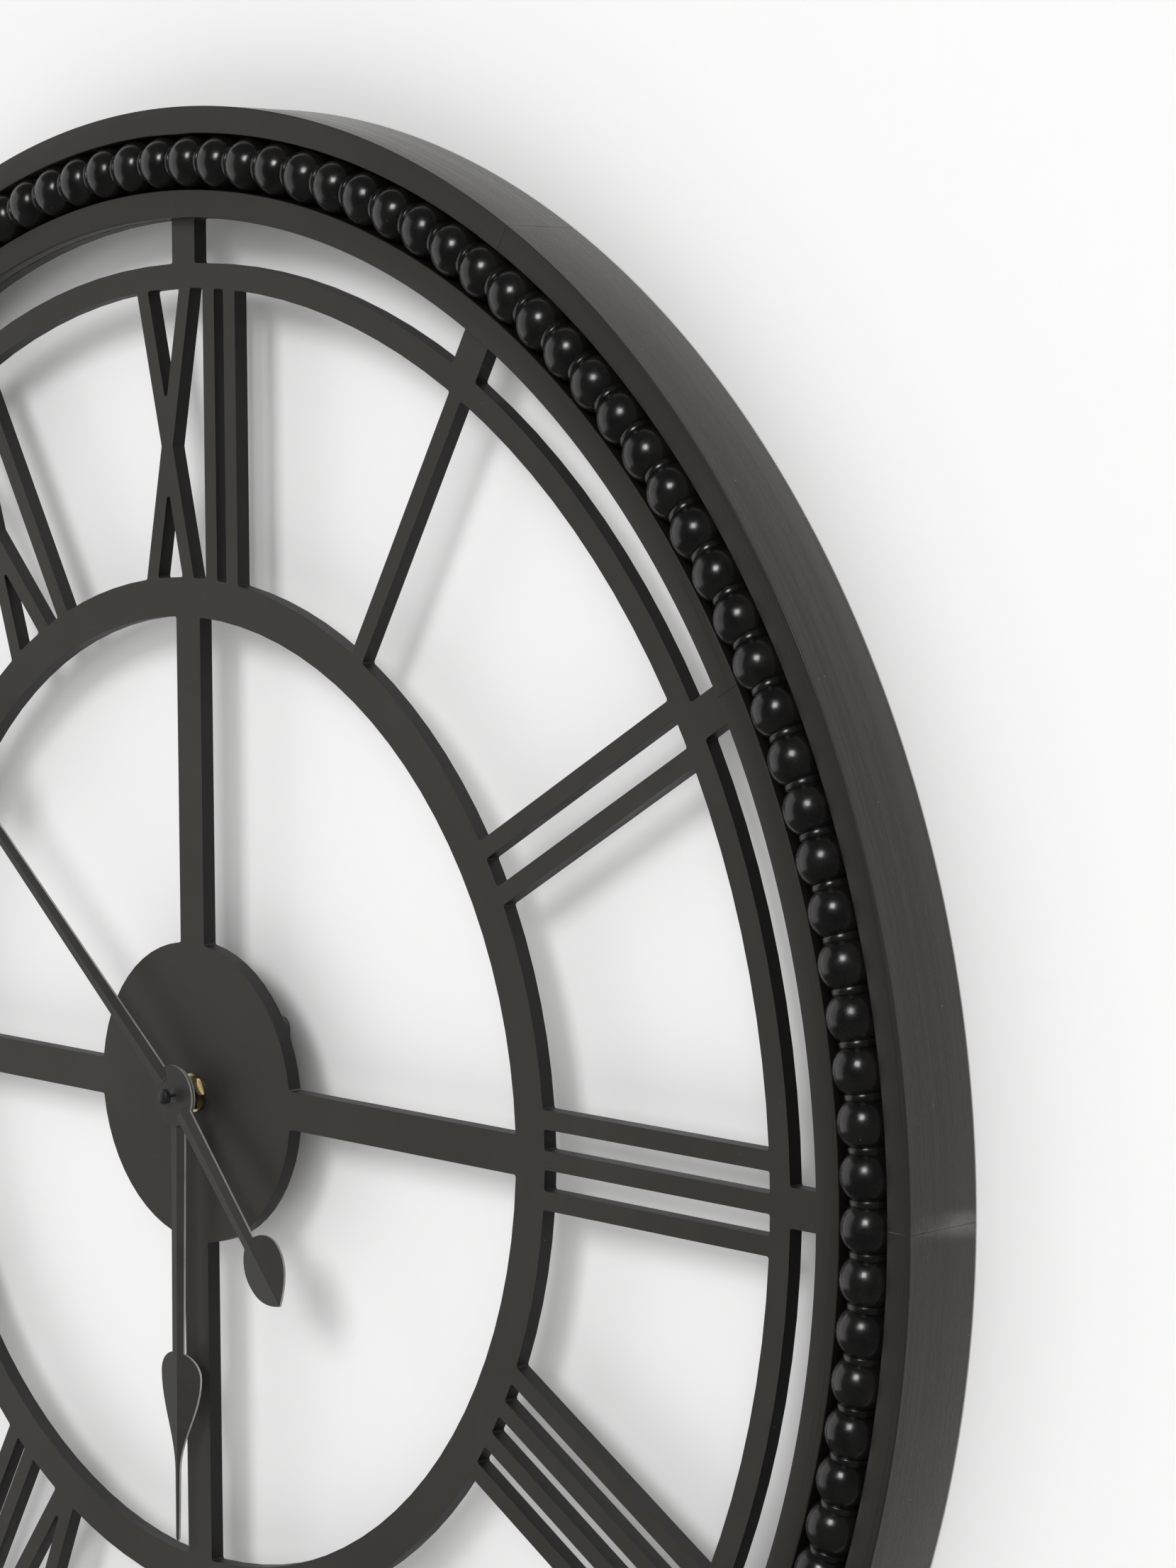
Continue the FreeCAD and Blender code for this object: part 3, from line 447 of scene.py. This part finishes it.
def satinPaint(name):
    look = paints[name]
    material, tree, shader = newMaterial(name, Specular_IOR_Level=look["shine"])
    streak = place(tree, "streaks", Along=look["along"], Across=look["across"], Contrast=look["contrast"])
    mottle = place(tree, "mottle", Clouds=11.0, Peel=900.0)
    specks = place(tree, "specks", Spacing=230.0, Size=0.055, Amount=look["specks"])
    wear = place(tree, "wear", Start=0.54, Patchy=45.0)
    front = place(tree, "facing", Start=0.55)
    coat = mixTones(tree, streak["Streak"], look["dark"], look["light"])
    coat = mixTones(tree, addMath(tree, "MULTIPLY", mottle["Cloud"], 0.35), coat, look["dark"])
    # cut sides take the paint's side tone; on the hands this pale tone is a painted highlight along the edges
    cut = mixTones(tree, streak["Fine"], tuple(tone * 0.62 for tone in look["side"]), look["side"])
    coat = mixTones(tree, front["Front"], cut, coat)
    # wear stays off the flat fronts and backs: their few corners would spread it right across
    rim = addMath(tree, "SUBTRACT", 1.0, place(tree, "facing", Start=0.79)["Front"])
    rubbed = addMath(tree, "MULTIPLY", addMath(tree, "MULTIPLY", wear["Wear"], look["wear"]), rim)
    coat = mixTones(tree, rubbed, coat, (0.13, 0.125, 0.115))
    coat = mixTones(tree, addMath(tree, "MULTIPLY", specks["Speck"], 0.5), coat, (0.20, 0.195, 0.18))
    coat = mixTones(tree, addMath(tree, "MULTIPLY", specks["Pit"], 0.7), coat, (0.008, 0.008, 0.007))
    tree.links.new(coat, shader.inputs["Base Color"])
    low, high = look["gloss"]
    sideLow, sideHigh = look["sideGloss"]
    least = addMath(tree, "MULTIPLY_ADD", front["Front"], low - sideLow, sideLow)
    spread = addMath(tree, "MULTIPLY_ADD", front["Front"], high - low - sideHigh + sideLow, sideHigh - sideLow)
    gloss = addMath(tree, "MULTIPLY_ADD", streak["Fine"], spread, least)
    gloss = addMath(tree, "MULTIPLY_ADD", addMath(tree, "SUBTRACT", mottle["Cloud"], 0.5), 0.06, gloss)
    tree.links.new(addMath(tree, "MULTIPLY_ADD", specks["Speck"], 0.2, gloss), shader.inputs["Roughness"])
    height = addMath(tree, "MULTIPLY_ADD", mottle["Peel"], 0.6, addMath(tree, "MULTIPLY", streak["Fine"], 0.5))
    height = addMath(tree, "MULTIPLY_ADD", specks["Pit"], -1.5, height)
    addBump(tree, shader, height, look["bump"], 0.0002)
    return material


lacquerLook = {
    "dark": (0.0040, 0.0036, 0.0034),
    "light": (0.0075, 0.0069, 0.0064),
    "gloss": (0.17, 0.25),
    "flow": 120.0,
}


def beadLacquer():
    # thick gloss lacquer, uneven where it ran, with scattered dust specks
    look = lacquerLook
    material, tree, shader = newMaterial("beadLacquer", Specular_IOR_Level=0.62, Coat_Roughness=0.16)
    point = objectPoint(tree)
    flow = addNoise(tree, point, look["flow"], 2.0, 0.5)
    brush = addNoise(tree, point, look["flow"] * 4.5, 3.0, 0.6)
    specks = place(tree, "specks", Spacing=420.0, Size=0.07, Amount=0.06)
    mottle = place(tree, "mottle", Clouds=26.0, Peel=1400.0)
    coat = mixTones(tree, addRange(tree, flow, 0.35, 0.68), look["dark"], look["light"])
    coat = mixTones(tree, addMath(tree, "MULTIPLY", specks["Speck"], 0.45), coat, (0.17, 0.165, 0.155))
    tree.links.new(coat, shader.inputs["Base Color"])
    low, high = look["gloss"]
    gloss = addRange(tree, brush, 0.3, 0.7, low, high)
    tree.links.new(addMath(tree, "MULTIPLY_ADD", mottle["Cloud"], 0.05, gloss), shader.inputs["Roughness"])
    tree.links.new(addRange(tree, flow, 0.3, 0.6, 0.0, 0.15), shader.inputs["Coat Weight"])
    height = addMath(tree, "MULTIPLY_ADD", brush, 0.22, flow)
    height = addMath(tree, "MULTIPLY_ADD", mottle["Peel"], 0.05, height)
    height = addMath(tree, "MULTIPLY_ADD", specks["Speck"], 0.3, height)
    addBump(tree, shader, height, 0.11, 0.0006)
    return material


# Metals: tone, second tone, roughness low and high, lines along and across
metals = {
    "brightBrass": ((0.80, 0.70, 0.50), (0.58, 0.48, 0.31), 0.13, 0.27, 40.0, 2600.0),
    "agedBrass": ((0.60, 0.43, 0.19), (0.40, 0.28, 0.12), 0.22, 0.38, 40.0, 2200.0),
    "plainSteel": ((0.62, 0.62, 0.60), (0.48, 0.48, 0.47), 0.24, 0.40, 18.0, 1800.0),
    "enamelledCopper": ((0.70, 0.26, 0.11), (0.42, 0.13, 0.05), 0.22, 0.36, 30.0, 3800.0),
}


def turnedMetal(name):
    tone, second, low, high, along, across = metals[name]
    material, tree, shader = newMaterial(name, Metallic=1.0)
    streak = place(tree, "streaks", Along=along, Across=across, Contrast=0.7)
    mottle = place(tree, "mottle", Clouds=240.0, Peel=2600.0)
    wear = place(tree, "wear", Start=0.52, Patchy=400.0)
    coat = mixTones(tree, addMath(tree, "MULTIPLY", streak["Streak"], 0.6), tone, second)
    coat = mixTones(tree, addMath(tree, "MULTIPLY", mottle["Cloud"], 0.3), coat, second)
    coat = mixTones(tree, addMath(tree, "MULTIPLY", wear["Wear"], 0.6), coat,
                    tuple(min(1.0, value * 1.15) for value in tone))
    tree.links.new(coat, shader.inputs["Base Color"])
    tree.links.new(addMath(tree, "MULTIPLY_ADD", streak["Fine"], high - low, low), shader.inputs["Roughness"])
    addBump(tree, shader, streak["Fine"], 0.12, 0.00008)
    return material


# Moulded stuff: tone, second tone, roughness low and high, grain scale, bump strength
mouldings = {
    "capPlastic": ((0.010, 0.010, 0.010), (0.020, 0.020, 0.020), 0.32, 0.45, 2600.0, 0.12),
    "casePlastic": ((0.016, 0.016, 0.016), (0.026, 0.026, 0.026), 0.46, 0.62, 2400.0, 0.30),
    "knobPlastic": ((0.060, 0.060, 0.060), (0.085, 0.085, 0.083), 0.40, 0.52, 2400.0, 0.18),
    "washerRubber": ((0.014, 0.014, 0.014), (0.026, 0.025, 0.024), 0.70, 0.88, 1600.0, 0.35),
    "wheelNylon": ((0.80, 0.79, 0.74), (0.70, 0.69, 0.64), 0.34, 0.46, 1500.0, 0.06),
    "bobbinNylon": ((0.62, 0.60, 0.52), (0.52, 0.50, 0.44), 0.40, 0.52, 1500.0, 0.08),
}


def moulded(name):
    tone, second, low, high, grain, strength = mouldings[name]
    material, tree, shader = newMaterial(name, Specular_IOR_Level=0.5)
    mottle = place(tree, "mottle", Clouds=70.0, Peel=grain)
    specks = place(tree, "specks", Spacing=260.0, Size=0.05, Amount=0.14)
    wear = place(tree, "wear", Start=0.53, Patchy=160.0)
    coat = mixTones(tree, mottle["Cloud"], tone, second)
    pale = tuple(min(0.9, value * 1.6 + 0.02) for value in second)
    coat = mixTones(tree, addMath(tree, "MULTIPLY", wear["Wear"], 0.5), coat, pale)
    coat = mixTones(tree, addMath(tree, "MULTIPLY", specks["Speck"], 0.35), coat, (0.25, 0.245, 0.23))
    tree.links.new(coat, shader.inputs["Base Color"])
    tree.links.new(addRange(tree, mottle["Peel"], 0.3, 0.7, low, high), shader.inputs["Roughness"])
    addBump(tree, shader, mottle["Peel"], strength, 0.0001)
    return material


batteryLook = {"copperEnd": (0.62, 0.36, 0.16), "can": (0.030, 0.031, 0.034), "canLight": (0.045, 0.046, 0.05),
               "steelEnd": (0.60, 0.60, 0.59)}


def batteryWrap():
    # plain two-tone sleeve: dark body, coppery shoulder, bare steel ends
    material, tree, shader = newMaterial("batteryWrap", Specular_IOR_Level=0.5)
    low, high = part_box("battery")
    length = high[0] - low[0]
    split = tree.nodes.new("ShaderNodeSeparateXYZ")
    tree.links.new(objectPoint(tree), split.inputs[0])
    along = addMath(tree, "DIVIDE", addMath(tree, "SUBTRACT", split.outputs["X"], low[0]), length)
    shoulder = addMath(tree, "GREATER_THAN", along, 0.72)
    ends = addMath(tree, "MAXIMUM", addMath(tree, "GREATER_THAN", along, 0.972),
                   addMath(tree, "LESS_THAN", along, 0.012))
    mottle = place(tree, "mottle", Clouds=50.0, Peel=1500.0)
    coat = mixTones(tree, mottle["Cloud"], batteryLook["can"], batteryLook["canLight"])
    coat = mixTones(tree, shoulder, coat, batteryLook["copperEnd"])
    coat = mixTones(tree, ends, coat, batteryLook["steelEnd"])
    tree.links.new(coat, shader.inputs["Base Color"])
    tree.links.new(addMath(tree, "MAXIMUM", addMath(tree, "MULTIPLY", shoulder, 0.85), ends),
                   shader.inputs["Metallic"])
    tree.links.new(addRange(tree, mottle["Peel"], 0.3, 0.7, 0.24, 0.34), shader.inputs["Roughness"])
    addBump(tree, shader, mottle["Peel"], 0.05, 0.0001)
    return material


boardLook = {"mask": (0.012, 0.085, 0.035), "maskLight": (0.02, 0.13, 0.055), "track": (0.05, 0.24, 0.10)}


def boardMask():
    # green solder mask with raised tracks
    material, tree, shader = newMaterial("boardMask", Specular_IOR_Level=0.55)
    mottle = place(tree, "mottle", Clouds=90.0, Peel=1800.0)
    waves = tree.nodes.new("ShaderNodeTexWave")
    waves.inputs["Scale"].default_value = 260.0
    waves.inputs["Distortion"].default_value = 6.0
    waves.inputs["Detail"].default_value = 0.0
    tree.links.new(objectPoint(tree), waves.inputs["Vector"])
    track = addRange(tree, waves.outputs["Fac"], 0.72, 0.80)
    coat = mixTones(tree, mottle["Cloud"], boardLook["mask"], boardLook["maskLight"])
    tree.links.new(mixTones(tree, track, coat, boardLook["track"]), shader.inputs["Base Color"])
    tree.links.new(addRange(tree, mottle["Peel"], 0.3, 0.7, 0.25, 0.38), shader.inputs["Roughness"])
    addBump(tree, shader, track, 0.3, 0.0001)
    return material


materials = {name: satinPaint(name) for name in paints}
materials.update({name: turnedMetal(name) for name in metals})
materials.update({name: moulded(name) for name in mouldings})
materials["beadLacquer"] = beadLacquer()
materials["batteryWrap"] = batteryWrap()
materials["boardMask"] = boardMask()
print("materials:", len(materials), "from", len(effects), "shared effects")

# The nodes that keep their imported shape, by finish
finishes = {
    "ringPaint": ("back_ring", "hanger_block"),
    "dialPaint": ("dial_plate",),
    "handPaint": ("minute_hand", "hour_hand"),
    "brightBrass": ("hex_nut", "brass_washer", "bushing"),
    "agedBrass": ("second_wheel", "contact_plus"),
    "plainSteel": ("hanger_plate", "hanger_screws", "contact_minus", "stator", "coil_core", "bead_wire"),
    "enamelledCopper": ("coil_winding",),
    "capPlastic": ("arbor_cap", "minute_collet", "hour_collet", "centre_arbor"),
    "casePlastic": ("movement_case", "movement_cover"),
    "knobPlastic": ("setting_knob",),
    "washerRubber": ("rubber_washer",),
    "wheelNylon": ("centre_wheel", "hour_wheel", "minute_wheel", "third_wheel", "fifth_wheel", "rotor"),
    "bobbinNylon": ("coil_bobbin",),
    "batteryWrap": ("battery",),
    "boardMask": ("circuit_board",),
}
for finish, names in finishes.items():
    for name in names:
        for slot in nodes[name].material_slots:
            slot.material = materials[finish]
print("finishes:", sum(len(names) for names in finishes.values()), "packed nodes")


def finishPiece(piece, material, body, slotName, *replaced):
    piece.data.materials.clear()
    piece.data.materials.append(materials[material])
    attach(piece, body)
    if replaced:
        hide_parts(*replaced)


# Rim: six hoop segments and six bezel segments, butted end to end

hoop = {"outer": 350.0 * mm, "inner": 340.5 * mm, "corner": 0.45 * mm, "steps": 60, "seam": 0.13 * mm,
        "firstSeam": 30.0}
bezel = {"outer": 321.1 * mm, "inner": 311.4 * mm, "corner": 0.40 * mm, "steps": 60, "seam": 0.10 * mm,
         "firstSeam": 0.0}


def ringSegment(name, sizes, front, back):
    # a sixth of a ring: its section drawn at twelve and spun clockwise about the dial axis
    deselectAll()
    depth = back - front
    width = sizes["outer"] - sizes["inner"]
    place = (0, (front + back) / 2, (sizes["outer"] + sizes["inner"]) / 2)
    bpy.ops.mesh.primitive_plane_add(size=1, location=place, rotation=(0, math.radians(90), 0))
    bpy.context.active_object.scale = (width, depth, 1)
    piece = startPiece(name)
    bpy.ops.object.mode_set(mode="EDIT")
    bpy.ops.mesh.select_all(action="SELECT")
    bpy.ops.mesh.bevel(offset=sizes["corner"], segments=3, affect="VERTICES")
    bpy.ops.mesh.select_all(action="SELECT")
    bpy.ops.mesh.spin(steps=sizes["steps"], angle=math.radians(60), center=(0, 0, 0), axis=(0, 1, 0))
    bpy.ops.mesh.select_all(action="SELECT")
    bpy.ops.mesh.normals_make_consistent(inside=False)
    bpy.ops.object.mode_set(mode="OBJECT")
    # a hair of a chamfer round each end shows the butt joint
    pick(piece, lambda face: len(face.vertices) > 4)
    bpy.ops.mesh.bevel(offset=sizes["seam"], segments=1, affect="EDGES")
    bpy.ops.object.mode_set(mode="OBJECT")
    closeUp(piece, 0.000004, 40)
    return piece


def makeRing(nodePrefix, pieceName, sizes, front, back, material):
    first = ringSegment(pieceName + "1", sizes, front, back)
    middle = math.degrees(math.atan2(sum(v.co.x for v in first.data.vertices),
                                     sum(v.co.z for v in first.data.vertices)))
    start = middle - 30.0
    first.data.transform(Matrix.Rotation(math.radians(sizes["firstSeam"] - start), 4, "Y"))
    segments = [first]
    for index in range(1, 6):
        segments.append(turnedCopy(first, f"{pieceName}{index + 1}", 60.0 * index))
    names = [name for name in nodes if name.startswith(nodePrefix)]
    for index, piece in enumerate(segments):
        wanted = (sizes["firstSeam"] + 60.0 * index + 30.0) % 360
        match = min(names, key=lambda name: abs((clockAngle(name) - wanted + 180) % 360 - 180))
        slotName = "rim_paint" if nodePrefix.startswith("hoop") else "bezel_paint"
        finishPiece(piece, material, "frame", slotName, match)
    return segments


rimLow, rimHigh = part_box("hoop_segment_1")
bezelLow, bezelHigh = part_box("bezel_segment_1")
makeRing("hoop_segment", "hoopSegment", hoop, rimLow[1], rimHigh[1], "hoopPaint")
makeRing("bezel_segment", "bezelSegment", bezel, bezelLow[1], bezelHigh[1], "bezelPaint")
print("rim: hoop and bezel segments")


# Bead rope: one bead with half a collar at each end, copied round the channel

beads = {"count": 130, "radius": 9.5 * mm, "ring": 330.8 * mm, "around": 24, "poles": 16, "cutAt": 6.9 * mm,
         "collar": 6.75 * mm, "phase": 0.555, "merge": 0.05 * mm}
# where each ring of the collar stands along the rope, and its radius
collarRings = ((6.86 * mm, 6.42 * mm), (7.02 * mm, 6.62 * mm), (7.25 * mm, 6.75 * mm))


def makeBead():
    low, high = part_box("bead_wire")
    centreY = (low[1] + high[1]) / 2
    centre = Vector((0, centreY, beads["ring"]))
    deselectAll()
    bpy.ops.mesh.primitive_uv_sphere_add(segments=beads["around"], ring_count=beads["poles"],
                                         radius=beads["radius"], location=centre,
                                         rotation=(0, math.radians(90), 0))
    bead = startPiece("beadRope")
    pick(bead, lambda vertex: abs(vertex.co.x) > beads["cutAt"], "VERT")
    bpy.ops.mesh.delete(type="VERT")
    bpy.ops.object.mode_set(mode="OBJECT")
    reach = max(vertex.co.x for vertex in bead.data.vertices)
    rimRadius = max((vertex.co - Vector((vertex.co.x, centreY, beads["ring"]))).length
                    for vertex in bead.data.vertices if vertex.co.x > reach - 0.00001)
    halfPitch = beads["ring"] * math.tan(math.pi / beads["count"])
    for side in (-1, 1):
        at = reach
        radius = rimRadius
        pick(bead, lambda vertex: vertex.co.x * side > reach - 0.00001, "VERT")
        bpy.ops.mesh.select_mode(type="EDGE")
        for nextAt, nextRadius in collarRings + ((halfPitch, beads["collar"]),):
            bpy.ops.mesh.extrude_region_move(
                TRANSFORM_OT_translate={"value": ((nextAt - at) * side, 0, 0)})
            bpy.ops.transform.resize(value=(1, nextRadius / radius, nextRadius / radius),
                                     center_override=(nextAt * side, centre.y, centre.z))
            at = nextAt
            radius = nextRadius
        # the last ring leans with the radius, to meet the next bead square
        bpy.ops.transform.rotate(value=-side * math.pi / beads["count"], orient_axis="Y", orient_type="GLOBAL",
                                 center_override=(halfPitch * side, centre.y, centre.z))
        bpy.ops.object.mode_set(mode="OBJECT")
    return bead


def makeBeadRope():
    bead = makeBead()
    bead.data.transform(Matrix.Rotation(math.radians(beads["phase"] * 360.0 / beads["count"]), 4, "Y"))
    twins = [turnedCopy(bead, f"beadTwin{index}", index * 360.0 / beads["count"])
             for index in range(1, beads["count"])]
    selectOnly(bead)
    for twin in twins:
        twin.select_set(True)
    bpy.ops.object.join()
    closeUp(bead, beads["merge"], 60)
    finishPiece(bead, "beadLacquer", "frame", "bead_gloss", "bead_string", "bead_wire")
    return bead


rope = makeBeadRope()
print("bead rope:", len(rope.data.polygons), "faces")


# Dial board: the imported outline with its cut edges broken

dial = {"edge": 0.35 * mm, "limit": 40.0}


def makeDialBoard():
    source = nodes["dial_plate"]
    board = source.copy()
    board.data = source.data.copy()
    board.name = "dialBoard"
    board.data.name = "dialBoard"
    board.parent = None
    bpy.context.collection.objects.link(board)
    closeUp(board, 0.000002, dial["limit"])
    bpy.ops.object.mode_set(mode="EDIT")
    bpy.ops.mesh.select_all(action="SELECT")
    bpy.ops.mesh.dissolve_limited(angle_limit=math.radians(0.6))
    bpy.ops.object.mode_set(mode="OBJECT")
    bevel = board.modifiers.new("brokenEdge", "BEVEL")
    bevel.width = dial["edge"]
    bevel.segments = 2
    bevel.limit_method = "ANGLE"
    bevel.angle_limit = math.radians(dial["limit"])
    bpy.ops.object.modifier_apply(modifier=bevel.name)
    bpy.ops.object.shade_smooth_by_angle(angle=math.radians(dial["limit"]))
    # the large flat faces keep their own normal, so the light lies evenly on them
    weights = board.modifiers.new("flatFaces", "WEIGHTED_NORMAL")
    weights.weight = 100
    weights.keep_sharp = True
    bpy.ops.object.modifier_apply(modifier=weights.name)
    finishPiece(board, "dialPaint", "frame", "dial_paint", "dial_plate")
    return board


board = makeDialBoard()
print("dial board:", len(board.data.polygons), "faces")


# Threaded bushing: its section, with the thread on the outer side, spun right round

bushing = {"radius": 4.0 * mm, "bore": 2.55 * mm, "flange": 6.0 * mm, "flangeDepth": 0.7 * mm,
           "pitch": 0.75 * mm, "threadDepth": 0.36 * mm, "steps": 48}


def makeBushing():
    low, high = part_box("bushing")
    front, back = low[1], high[1]
    barrelBack = back - bushing["flangeDepth"]
    deselectAll()
    bpy.ops.mesh.primitive_plane_add(size=1, location=(0, (front + barrelBack) / 2,
                                                       (bushing["radius"] + bushing["bore"]) / 2),
                                     rotation=(0, math.radians(90), 0))
    bpy.context.active_object.scale = (bushing["radius"] - bushing["bore"], barrelBack - front, 1)
    piece = startPiece("threadedBushing")
    outer = bushing["radius"] - 0.00001
    pick(piece, lambda edge: all(piece.data.vertices[i].co.z > outer for i in edge.vertices), "EDGE")
    bpy.ops.mesh.subdivide(number_cuts=2 * int((barrelBack - front) / bushing["pitch"]) - 1)
    bpy.ops.object.mode_set(mode="OBJECT")
    step = bushing["pitch"] / 2
    pick(piece, lambda vertex: vertex.co.z > outer
         and round((vertex.co.y - front) / step) % 2 == 0, "VERT")
    bpy.ops.transform.translate(value=(0, 0, -bushing["threadDepth"]))
    bpy.ops.object.mode_set(mode="OBJECT")
    # the flange inside the case stands on the last stretch
    def standsBehind(edge):
        return all(piece.data.vertices[i].co.y > barrelBack - 0.00001 for i in edge.vertices)

    pick(piece, standsBehind, "EDGE")
    bpy.ops.mesh.extrude_region_move(TRANSFORM_OT_translate={"value": (0, back - barrelBack, 0)})
    bpy.ops.object.mode_set(mode="OBJECT")
    pick(piece, lambda edge: standsBehind(edge)
         and all(piece.data.vertices[i].co.z > bushing["bore"] + 0.0005 for i in edge.vertices), "EDGE")
    bpy.ops.mesh.extrude_region_move(
        TRANSFORM_OT_translate={"value": (0, 0, bushing["flange"] - bushing["radius"])})
    bpy.ops.mesh.select_all(action="SELECT")
    bpy.ops.mesh.spin(steps=bushing["steps"], angle=math.radians(360), center=(0, 0, 0), axis=(0, 1, 0))
    bpy.ops.object.mode_set(mode="OBJECT")
    # the spun sections inside the ring go, only the skin stays
    pick(piece, lambda face: abs(face.normal.y) < 0.0001 and abs(face.normal.dot(
        Vector((face.center.x, 0, face.center.z)).normalized())) < 0.05)
    bpy.ops.mesh.delete(type="ONLY_FACE")
    bpy.ops.object.mode_set(mode="OBJECT")
    closeUp(piece, 0.000004, 35)
    finishPiece(piece, "brightBrass", "frame", "brass", "bushing")
    return piece


makeBushing()
print("bushing: threaded")
